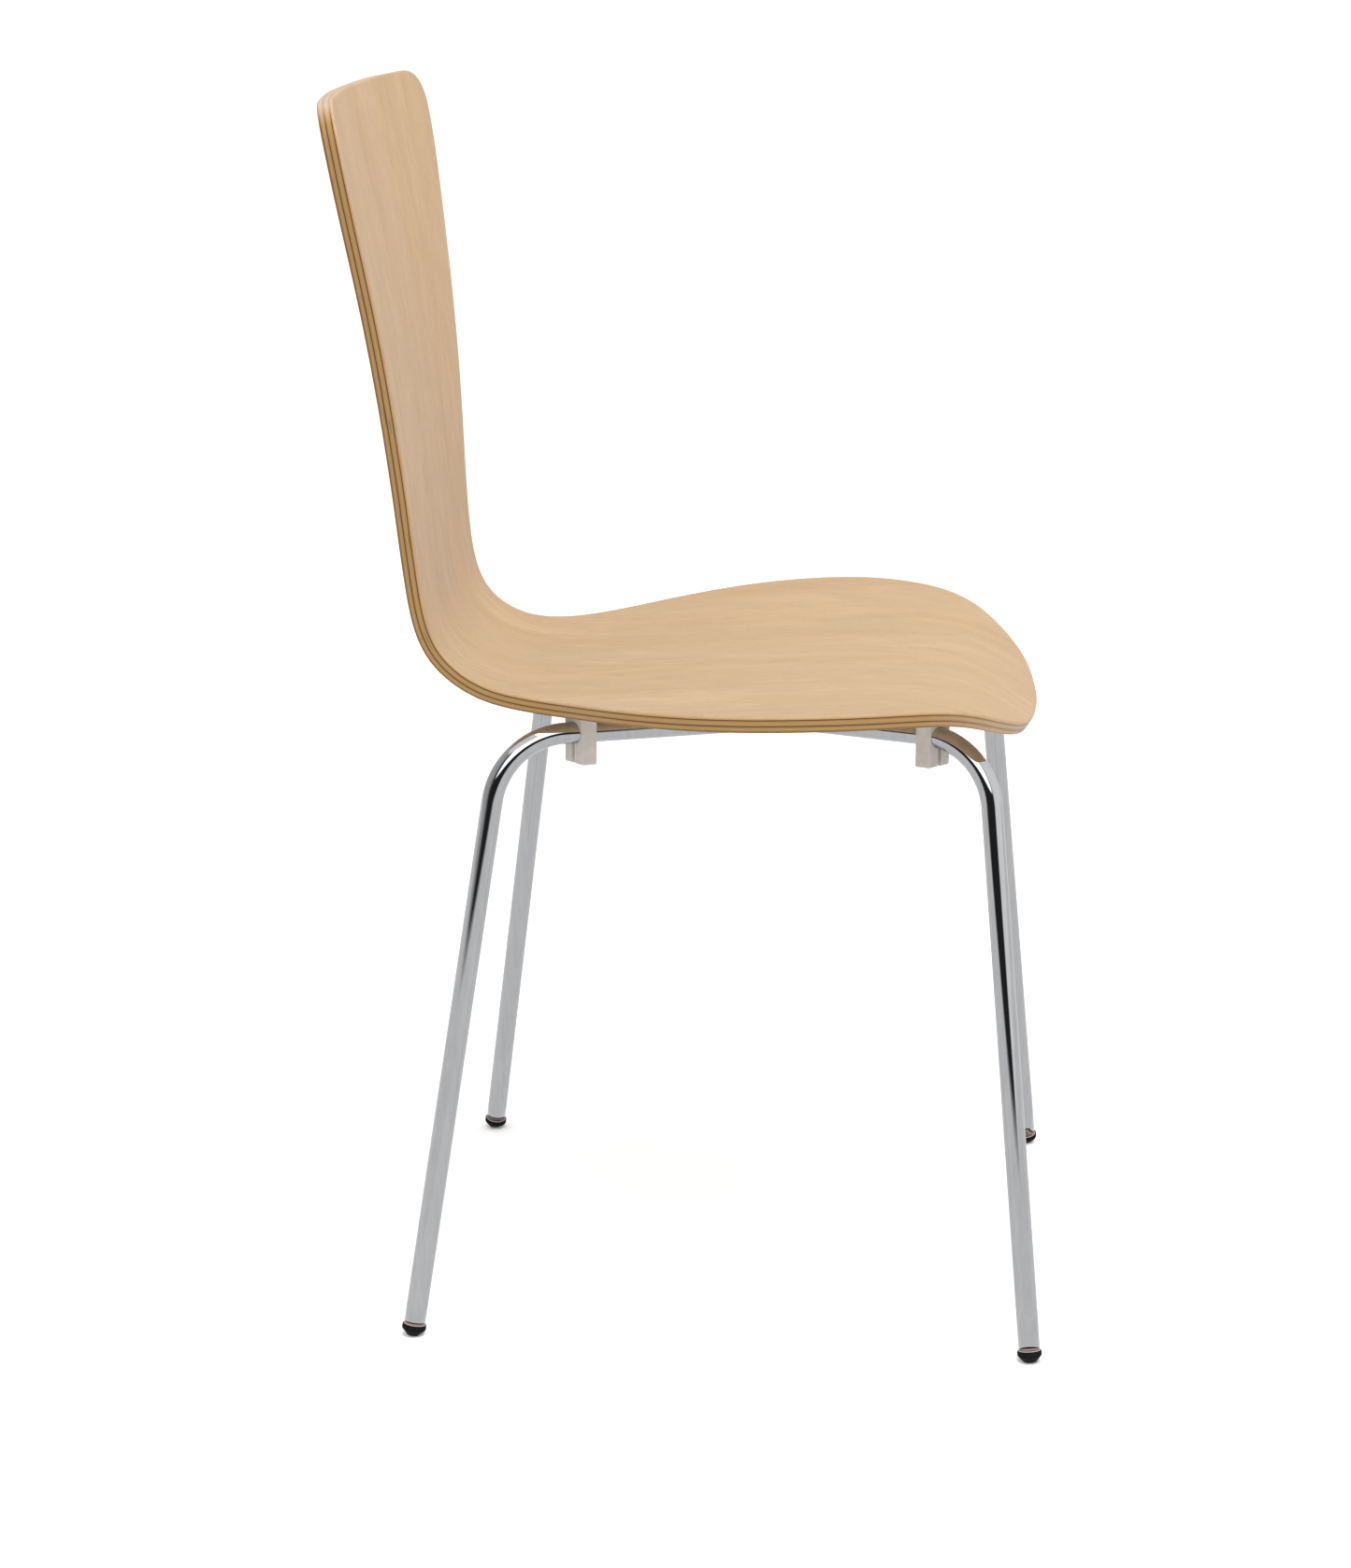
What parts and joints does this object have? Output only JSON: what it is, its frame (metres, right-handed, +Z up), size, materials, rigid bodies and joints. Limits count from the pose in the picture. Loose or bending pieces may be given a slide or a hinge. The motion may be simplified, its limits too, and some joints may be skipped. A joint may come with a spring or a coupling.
{
  "type": "stacking chair",
  "caption": "Stacking side chair: a waisted one-piece plywood seat and back on two bent chrome tube frames, with nylon stacking spacers and capped feet.",
  "frame": {"origin": "on the floor in the middle of the footprint, front to back and side to side", "axes": "+Z up, the chair faces -Y, its right side is -X"},
  "size_m": [0.445, 0.5052, 0.8481],
  "materials": {
    "plywood": "clear satin lacquer over pale veneer, cut plies showing at the edge",
    "pad_wood": "plain",
    "chrome_tube": "bright chrome",
    "plate_steel": "zinc plated",
    "fastener_steel": "zinc plated",
    "nylon": "natural translucent nylon",
    "black_cap": "matt black"
  },
  "bodies": {
    "root": {"centre_plate": "plate_steel", "foot_front_left": "black_cap", "foot_front_right": "black_cap", "foot_rear_left": "black_cap", "foot_rear_right": "black_cap", "mounting_pad": "pad_wood", "mounting_screws": "fastener_steel", "mounting_washers": "fastener_steel", "seat_shell": "plywood", "side_frame_left": "chrome_tube", "side_frame_right": "chrome_tube", "spacer_front_left": "nylon", "spacer_front_right": "nylon", "spacer_rear_left": "nylon", "spacer_rear_right": "nylon", "threaded_inserts": "fastener_steel", "weld_beads": "plate_steel"}
  },
  "joints": []
}
